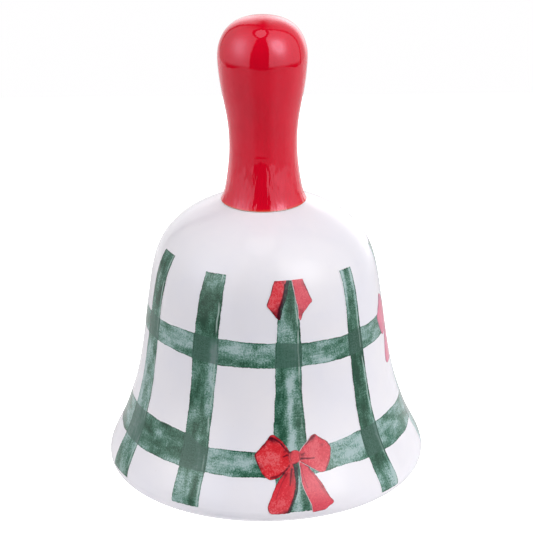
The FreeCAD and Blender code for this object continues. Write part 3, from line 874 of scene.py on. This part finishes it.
class BowPaint:
    """Colour and coverage (mm inside the paint) on a grid, laid on from back to front."""

    def __init__(self, x, y, seed, flip, shapes):
        x = x * flip
        noise = ValueNoise(700 + seed)
        self.x, self.y, self.flip, self.shapes = x, y, flip, shapes
        self.wavy_x = x + 0.24 * (noise.layered(x * 0.6, y * 0.6, 3) - 0.5)
        self.wavy_y = y + 0.24 * (noise.layered(x * 0.6 + 31, y * 0.6 + 11, 3) - 0.5)
        self.fine = noise.layered(x * 3.0, y * 3.0, 4, 0.65)
        self.grit = noise.layered(x * 1.2 + 17, y * 1.2 + 3, 4, 0.7)
        self.broad = noise.layered(x * 0.33 + 7, y * 0.33 + 5, 3)
        self.ragged = 0.75 + 0.6 * noise.layered(x * 1.5 + 5, y * 1.5 + 2, 2)
        self.color = np.zeros(x.shape + (3,)) + SLATE
        self.cover = np.full(x.shape, -9.0)

    def depth(self, key):
        """Distance inside a shape's outline, negative outside."""
        outline = catmull(self.shapes[key], 8, closed=True)
        distance, _ = line_distance(self.wavy_x, self.wavy_y, outline, closed=True)
        return np.where(inside(self.wavy_x, self.wavy_y, outline), distance, -distance)

    def spot(self, x, y, width, height):
        """A soft round patch."""
        return np.exp(-(((self.x - x) / width) ** 2 + ((self.y - y) / height) ** 2))

    def underwash(self):
        """The darker wash behind the tails."""
        depth = self.depth("shade") + 0.45 * (self.grit - 0.5) - 0.16
        mask = smoothstep(-0.05, 0.07, depth)[..., None]
        mossy = smoothstep(0.44, 0.72, self.fine * 0.6 + self.grit * 0.4)[..., None]
        self.color = blend(self.color, blend(SLATE, MOSS, mossy), mask)
        self.cover = np.maximum(self.cover, depth)

    def leave_halo(self, depth, width):
        """A sliver of bare white along the left side in the bow's own frame."""
        slope_y, slope_x = np.gradient(depth, BOW_STEP)
        steepness = np.maximum(np.hypot(slope_x, slope_y), 1e-6)
        leftward = smoothstep(0.25, 0.75, slope_x * self.flip / steepness)
        reach = depth + width * leftward * (0.55 + 0.8 * (self.grit - 0.2))
        mask = smoothstep(-0.05, 0.07, reach) * smoothstep(0.05, 0.4, leftward)
        self.color = blend(self.color, HALO, mask[..., None])
        self.cover = np.maximum(self.cover, np.where(mask > 0.02, reach, -9.0))

    def draw_contour(self, depth, mask):
        """A thin broken line on the shapes behind."""
        line = smoothstep(-0.26, -0.04, depth) * (0.15 + 0.9 * smoothstep(0.42, 0.6, self.grit))
        line = line[..., None] * (1 - mask) * (self.cover > -0.05)[..., None]
        self.color = blend(self.color, MAROON, line)

    def fold(self, base, points, start_width, end_width, strength):
        line = catmull(points, 10, closed=False)
        distance, share = line_distance(self.wavy_x, self.wavy_y, line, closed=False)
        width = blend(start_width, end_width, share) * self.ragged
        dark = strength * smoothstep(width + 0.16, width * 0.3, distance)
        return blend(base, MAROON, np.clip(dark * (0.55 + 0.9 * self.fine), 0, 1)[..., None])

    def shadow(self, base, x, y, length, breadth, turn, strength):
        cos, sin = math.cos(turn), math.sin(turn)
        off_x, off_y = self.wavy_x - x, self.wavy_y - y
        along = (off_x * cos + off_y * sin) / length
        across = (-off_x * sin + off_y * cos) / breadth
        dark = strength * np.exp(-(along ** 2 + across ** 2))
        return blend(base, MAROON, np.clip(dark * (0.35 + 1.3 * self.grit), 0, 1)[..., None])

    def lay(self, key, light, folds, shadows, pink=0.0, grade=0.0, halo=0.0, inked=0.0):
        """One red shape.

        folds: (points, start width, end width, strength), mm.
        shadows: (x, y, length, breadth, turn in radians, strength), mm.
        light and grade lighten the tone; inked widens and fills the dark rim.
        """
        depth = self.depth(key)
        mask = smoothstep(-0.05, 0.07, depth)[..., None]
        if halo:
            self.leave_halo(depth, halo)
        else:
            self.draw_contour(depth, mask)
        mottle = 1.1 * (self.broad - 0.5) + 1.5 * (self.fine - 0.5)
        tone = np.clip(np.clip(0.42 + light + mottle, 0, 1) + grade, 0, 1)[..., None]
        base = blend(RED_DEEP, RED, tone)
        base = blend(base, RED_LIGHT, np.clip((tone - 0.58) / 0.42, 0, 1) * 0.7)
        base = blend(base, PINK * (0.80 + 0.4 * self.fine[..., None]), pink)
        # pooled pigment along the outline, broken
        rim = np.exp(-((depth - 0.10) / (0.17 + 0.05 * inked)) ** 2)
        rim = rim * smoothstep(0.44 - 0.08 * inked, 0.66 - 0.12 * inked, self.grit)
        base = blend(base, MAROON, 0.75 * rim[..., None])
        # scattered darker grains
        grains = smoothstep(0.62, 0.80, self.grit * 0.5 + self.fine * 0.5)[..., None] * 0.45
        base = blend(base, RED_DEEP * 0.55, grains)
        for fold in folds:
            base = self.fold(base, *fold)
        for shadow in shadows:
            base = self.shadow(base, *shadow)
        self.color = blend(self.color, base, mask)
        self.cover = np.maximum(self.cover, depth)


def paint_tails(art):
    art.underwash()
    art.lay("tail_l", light=0.10, pink=0.16, grade=0.15 + 0.25 * art.spot(-3.4, 3.0, 1.6, 3.0),
            folds=[([(-0.9, 6.0), (-1.4, 3.4), (-2.0, 1.4), (-2.6, -0.6), (-3.1, -2.6),
                     (-3.3, -3.8)], 0.12, 0.85, 1.2)],
            shadows=[(-4.2, -2.6, 1.5, 0.9, -0.8, 0.75), (-3.2, -1.4, 0.7, 1.6, 0.0, 0.8),
                     (-3.7, 7.0, 0.9, 0.5, 0.3, 0.5), (-1.3, 6.6, 0.5, 0.8, 0.2, 0.6)])
    art.lay("tail_r", light=0.18, pink=0.62, halo=0.20,
            folds=[([(4.7, 6.4), (5.4, 4.6), (6.2, 2.8)], 0.05, 0.10, 0.35)],
            shadows=[(3.6, -2.6, 0.8, 1.2, 0.2, 0.45), (4.8, 5.6, 0.5, 1.0, 0.3, 0.30)])


def paint_whole_bow(art):
    art.underwash()
    art.lay("tail_l", light=0.00, pink=0.16,
            grade=0.12 + 0.20 * art.spot(-6.0, -12.5, 2.0, 2.4),
            folds=[([(-1.7, -3.2), (-2.2, -5.4), (-2.7, -7.6)], 0.34, 0.10, 0.75),
                   ([(-1.2, -8.8), (-1.9, -11.0), (-3.0, -13.2), (-3.9, -15.2)],
                    0.12, 0.34, 0.9),
                   ([(-3.0, -4.0), (-5.4, -7.4), (-7.4, -11.0)], 0.10, 0.05, 0.35)],
            shadows=[(-1.8, -5.0, 0.7, 2.2, 0.1, 0.45), (-4.6, -15.2, 1.2, 0.6, 0.1, 0.75),
                     (-3.9, -4.6, 1.0, 0.8, 0.7, 0.55)])
    art.lay("tail_r", light=0.14, pink=0.62, halo=0.20,
            grade=-0.25 * smoothstep(-13.6, -15.0, art.y),
            folds=[([(1.3, -2.4), (1.7, -5.4), (2.6, -8.6)], 0.08, 0.10, 0.35),
                   ([(3.4, -3.6), (5.4, -6.2), (7.4, -9.4)], 0.05, 0.09, 0.40)],
            shadows=[(7.4, -9.4, 0.5, 1.4, 0.55, 0.35)])
    art.lay("loop_l", light=0.06, inked=1.0, grade=0.34 * art.spot(-8.2, -0.3, 2.6, 2.2),
            folds=[([(-3.4, 3.2), (-4.8, 4.6), (-6.2, 5.6), (-7.3, 5.9)], 0.14, 0.42, 0.90),
                   ([(-2.3, 1.6), (-3.2, 2.6), (-4.4, 4.0)], 0.30, 0.12, 0.75),
                   ([(-1.9, 0.6), (-2.9, 0.75), (-4.1, 0.4)], 0.30, 0.10, 0.90),
                   ([(-12.3, 1.0), (-12.2, -0.2), (-11.5, -2.0)], 0.20, 0.06, 0.8),
                   ([(-8.2, -5.3), (-6.1, -4.8), (-4.5, -4.0)], 0.26, 0.12, 0.75)],
            shadows=[(-7.0, 5.4, 1.7, 0.7, -0.35, 0.90), (-9.4, 3.9, 0.9, 0.4, 0.85, 0.55),
                     (-3.1, 2.1, 0.9, 0.6, 0.8, 0.55), (-10.9, -2.4, 0.7, 1.0, 0.3, 0.35)])
    art.lay("loop_r", light=0.10, pink=0.42, halo=0.20,
            grade=0.20 * art.spot(6.4, 2.0, 2.4, 1.8),
            folds=[([(3.2, 3.3), (4.6, 4.5), (6.1, 5.5)], 0.16, 0.40, 0.75),
                   ([(1.3, -0.5), (2.8, -0.65), (5.6, -0.85)], 0.34, 0.08, 0.90),
                   ([(1.5, 0.5), (2.6, 0.9)], 0.22, 0.14, 0.65),
                   ([(10.8, -0.9), (10.1, -2.6), (9.2, -4.2)], 0.06, 0.16, 0.50)],
            shadows=[(5.6, 5.0, 1.2, 0.6, 0.75, 0.65), (2.0, 0.4, 0.7, 0.7, 0.3, 0.5),
                     (8.4, 2.6, 0.7, 0.5, 0.2, 0.30)])
    art.lay("knot", light=0.20, pink=0.25,
            folds=[([(-1.6, 1.0), (-1.9, 0.0), (-1.6, -0.9)], 0.10, 0.08, 0.45),
                   ([(1.0, 1.0), (1.05, -0.4)], 0.10, 0.10, 0.5)],
            shadows=[(-1.6, 1.5, 0.5, 0.4, 0.0, 0.6)])


TAILS_BOTTOM, TAILS_TOP = 60.0, 73.1     # the tails-only pieces are cut at these heights, mm
# name, angle (degrees), knot height (mm), 1 or -1 for mirrored, pale wash on the left, tails only
BOWS = [
    ("bow_front", 12.0, 19.7, 1.0, 0.0, False),
    ("bow_right", 89.4, 51.8, 1.0, 0.6, False),
    ("bow_back", 166.0, 19.7, -1.0, 0.0, False),
    ("bow_left", 246.0, 50.6, 1.0, 0.0, False),
    ("bow_tails_front", 12.0, 66.0, 1.0, 0.0, True),
    ("bow_tails_back", 166.0, 66.0, -1.0, 0.0, True),
]


def make_bow(name, angle, knot_z, flip, pale, tails_only, seed, material):
    low, high = knot_z - 16.7, knot_z + 9.0
    if tails_only:
        low, high = TAILS_BOTTOM, TAILS_TOP
    x, z = np.meshgrid(np.arange(-13.2, 13.2 + BOW_STEP / 2, BOW_STEP),
                       np.arange(low, high + BOW_STEP / 2, BOW_STEP))
    art = BowPaint(x, z - knot_z, seed, flip, TAILS_ONLY if tails_only else WHOLE_BOW)
    if tails_only:
        paint_tails(art)
        cover = np.minimum(art.cover, np.minimum(z - low, high - z) - 0.06)
    else:
        paint_whole_bow(art)
        cover = art.cover
    # push points just outside the outline onto it so that the cut edge is smooth
    slope_z, slope_x = np.gradient(cover, BOW_STEP)
    steepness = np.maximum(np.hypot(slope_x, slope_z), 0.5)
    near = (cover < 0.0) & (cover > -0.16)
    move = np.where(near, -(cover + 0.02), 0.0)
    moved_x = x + move * slope_x / steepness ** 2
    moved_z = z + move * slope_z / steepness ** 2
    covered = cover > -0.13
    keep = covered[:-1, :-1] & covered[1:, :-1] & covered[:-1, 1:] & covered[1:, 1:]
    theta = math.radians(angle) + moved_x / radius_at(moved_z)
    color = blend(art.color, PALE, (pale * smoothstep(1.0, -5.0, x))[..., None])
    rgba = np.concatenate([color, np.ones(x.shape + (1,))], -1)
    uvs = np.stack([(x - x.min()) / (x.max() - x.min()), (z - z.min()) / (z.max() - z.min())], -1)
    painted_shell(name, theta, moved_z, LIFT_BOW, keep, {"paint_color": rgba}, uvs,
                  material)


# ------------------------------------------------------------------ build the painting
WHITE_GLAZE, RED_GLAZE = white_glaze(), red_glaze()
GREEN_UPRIGHT = green_wash("green_wash_upright", upright=True)
GREEN_ROUND = green_wash("green_wash_round", upright=False)
BOW_GLAZE = bow_glaze()

for seed, (tone, tone_change, stations) in enumerate(STRIPES):
    make_stripe("stripe_%d" % (seed + 1), stations, tone, tone_change, seed, GREEN_UPRIGHT)

for b, band in enumerate(BANDS):
    for k, tone in enumerate(band["tones"]):
        make_band("band_%s_%d" % (band["name"], k + 1), band, SEAMS[k], SEAMS[k + 1], tone,
                  20 * b + k, GREEN_ROUND)

for seed, bow in enumerate(BOWS, start=1):
    make_bow(*bow, seed=seed, material=BOW_GLAZE)

# ------------------------------------------------------------------ materials on the CAD nodes
BRASS_WIRE, BRASS_LINK = brass("brass_wire"), brass("brass_link")
LOOKS = {
    "bell_body": WHITE_GLAZE,
    "handle": RED_GLAZE,
    "handle_bond": bisque_clay("slip_joint", linear(196, 176, 160), linear(222, 206, 192)),
    "crown_plug": bisque_clay("plaster", linear(222, 219, 212), linear(240, 238, 232), scale=2.2),
    "hanger_staple": BRASS_WIRE,
    "clapper_eye": BRASS_WIRE,
    "chain_link_1": BRASS_LINK,
    "chain_link_2": BRASS_LINK,
    "chain_link_3": BRASS_LINK,
    "clapper_drop": beech(),
}
for name, material in LOOKS.items():
    slots = NODES[name].data.materials
    if not slots:
        slots.append(material)
    for i in range(len(slots)):
        slots[i] = material


# ------------------------------------------------------------------ the white table
def add_floor(size, z):
    half = size / 2
    mesh = bpy.data.meshes.new("floor")
    corners = [(-half, -half, 0), (half, -half, 0), (half, half, 0), (-half, half, 0)]
    mesh.from_pydata(corners, [], [(0, 1, 2, 3)])
    floor = bpy.data.objects.new("floor", mesh)
    floor.location = (0, 0, z)
    bpy.context.scene.collection.objects.link(floor)
    return floor


def floor_paper():
    """Plain white to the camera; what it throws back on the glaze varies with place (mm)."""
    mat = Material("floor_paper")
    x, y, _ = mat.split(mat.position())
    from_front = abs(mat.math("ARCTAN2", x, y * -1.0) * 57.2958)    # degrees
    grey = 0.26 + (mat.ease(from_front, span=(14.0, 44.0), to=(0.0, 0.20))
                   + mat.ease(from_front, span=(60.0, 120.0), to=(0.0, 0.24)))
    near = mat.ease(mat.length(x, y), span=(50.0, 170.0), to=(0.48, 0.0))
    back = mat.ease(y, span=(180.0, 320.0), to=(0.0, 0.60))
    grey = mat.math("ADD", grey, near + back, clamp=True)
    seen = mat.camera_ray()
    mat.finish(color=mat.combine(grey, grey, grey), rough=0.9, spec=0.0,
               emission=(1.0, 1.0, 1.0), emission_strength=seen * 1.0)
    # clear from underneath; light reaches the bell's inside through a hole under its mouth
    underside = mat.node("NewGeometry", out="Backfacing")
    mouth = mat.length(x, y) < 48.8
    clear = mat.maximum(underside, mouth * (1.0 - seen))
    mixed = mat.node("MixShader", {0: clear, 1: mat.surface, 2: mat.node("BsdfTransparent")})
    mat.put(mat.output.inputs[0], mixed)
    return mat.owner


paper = floor_paper()
add_floor(size=0.80, z=-0.00002).data.materials.append(paper)


# ------------------------------------------------------------------ the studio
class Studio(Graph):
    """Light by direction seen from above: u to the right (+X), v to the back (+Y), at
    distance rho from the middle, 0 overhead and 1 at the horizon."""

    def __init__(self, name):
        super().__init__(bpy.data.worlds.new(name), "World")
        x, y, z = self.split(self.node("TexCoord", out="Generated"))
        flat = self.maximum(self.length(x, y), 0.0001)
        self.rho = self.math("ARCCOSINE", z) * (2.0 / math.pi)
        scale = self.rho / flat
        self.u = x * scale
        self.v = y * scale

    def reach(self, center, size):
        """Squared distance from the center, in units of size."""
        du = (self.u - center[0]) * (1.0 / size[0])
        dv = (self.v - center[1]) * (1.0 / size[1])
        return du * du + dv * dv

    def spot(self, center, size, level):
        """A Gaussian patch of light."""
        return self.math("POWER", 2.71828, self.reach(center, size) * -0.5) * level

    def line(self, start, stop):
        """Signed distance from a line, positive to its left."""
        du, dv = stop[0] - start[0], stop[1] - start[1]
        length = math.hypot(du, dv)
        nu, nv = -dv / length, du / length
        return self.u * nu + self.v * nv + -(start[0] * nu + start[1] * nv)


def build_studio():
    """Two large soft boxes left and right of the front with a dark gap between them, a
    bright sweep behind, and one small oval lamp overhead."""
    sky = Studio("studio")
    bpy.context.scene.world = sky.owner
    # where light may fall: round the lamp, above the horizon, either side of the gap
    outside = sky.ease(sky.reach(center=(-0.03, -0.03), size=(0.165, 0.26)), span=(0.85, 1.25))
    low = sky.maximum(sky.ease(sky.rho, span=(1.19, 1.13)), sky.ease(sky.v, span=(0.15, 0.60)))
    left_of_gap = sky.ease(sky.line((-0.65, -1.05), (-0.12, -0.30)), span=(-0.005, 0.035))
    right_of_gap = sky.ease(sky.line((0.09, -0.30), (0.33, -1.10)), span=(-0.005, 0.035))
    front = sky.ease(sky.v, span=(0.10, -0.25))
    back_left = sky.line((-0.10, 0.42), (-0.62, 0.74))
    back_right = sky.line((0.20, 0.18), (0.92, 0.36))
    west = sky.ease(sky.u, span=(0.02, -0.10))
    east = sky.ease(sky.u, span=(0.0, 0.10))
    open_left = sky.maximum(left_of_gap, 1.0 - front)
    open_right = sky.maximum(right_of_gap, 1.0 - front)
    # the soft boxes
    left_light = (0.38 + sky.spot(center=(-0.65, -0.25), size=(0.45, 0.50), level=0.50)
                  + sky.spot(center=(-0.65, -0.27), size=(0.17, 0.23), level=1.40))
    left_box = west * open_left * left_light * sky.ease(back_left, span=(-0.02, 0.06))
    right_hot = sky.spot(center=(0.48, -0.42), size=(0.155, 0.145), level=3.6)
    right_light = (0.62 + sky.spot(center=(0.48, -0.40), size=(0.38, 0.40), level=0.55)
                   + sky.minimum(right_hot, 2.4))
    right_box = east * open_right * right_light * sky.ease(back_right, span=(0.03, -0.04))
    # the sweep and its brightest part
    sweep = sky.maximum(east * sky.ease(back_right, span=(0.03, 0.10)) * 0.58,
                        west * sky.ease(back_left, span=(-0.02, -0.10)) * 0.74)
    sweep_hot = sky.spot(center=(0.42, 0.81), size=(0.17, 0.13), level=2.4)
    sweep_hot = sky.minimum(sweep_hot, 1.3) * sky.ease(back_right, span=(0.03, 0.12))
    rear = sky.ease(sky.v, span=(0.66, 0.96), to=(0.0, 0.95))
    # a darker patch behind the lamp, the lamp, a patch low at the back, light from below
    roof = 1.0 - sky.spot(center=(0.0, 0.34), size=(0.14, 0.10), level=0.80)
    lamp = sky.reach(center=(-0.03, -0.03), size=(0.115, 0.20))
    lamp = sky.ease(lamp, span=(1.10, 0.80)) * 1.05
    low_back = sky.spot(center=(0.06, 0.84), size=(0.24, 0.12), level=1.6)
    below = sky.ease(sky.rho, span=(1.60, 1.75), to=(0.0, 0.9))
    boxes = (left_box + right_box + sweep + sweep_hot) * outside * low * roof
    glow = sky.maximum(0.03 + low_back + below + lamp + boxes, rear)
    # plain white to the camera, 2 % above the drawn levels for all other rays
    strength = sky.node("Mix", {0: sky.camera_ray(), 2: glow * 1.02, 3: 1.0}, data_type="FLOAT")
    background = sky.node("Background", {0: (1.0, 0.995, 1.0), 1: strength})
    sky.put(sky.output.inputs[0], background)


def add_camera():
    data = bpy.data.cameras.new("photo_view")
    data.sensor_width = 36.0
    data.sensor_fit = "HORIZONTAL"
    data.lens = 161.747392
    data.clip_start = 0.01
    data.clip_end = 50.0
    camera = bpy.data.objects.new("photo_view", data)
    bpy.context.scene.collection.objects.link(camera)
    # looking down to the back; radians
    pitch, yaw, roll = 0.364394, 0.000965, -0.0091138
    ahead = Vector((math.sin(yaw) * math.cos(pitch), math.cos(yaw) * math.cos(pitch),
                    -math.sin(pitch)))
    level = Vector((math.cos(yaw), -math.sin(yaw), 0))
    above = level.cross(ahead)
    right = level * math.cos(roll) + above * math.sin(roll)
    up = above * math.cos(roll) - level * math.sin(roll)
    pose = Matrix((right, up, -ahead)).transposed().to_4x4()
    pose.translation = Vector((0, -0.700, 0.33230))
    camera.matrix_world = pose
    bpy.context.scene.camera = camera


build_studio()
add_camera()
view = bpy.context.scene.view_settings
view.view_transform = "Standard"
view.look = "None"
view.exposure = 0.0
view.gamma = 1.0
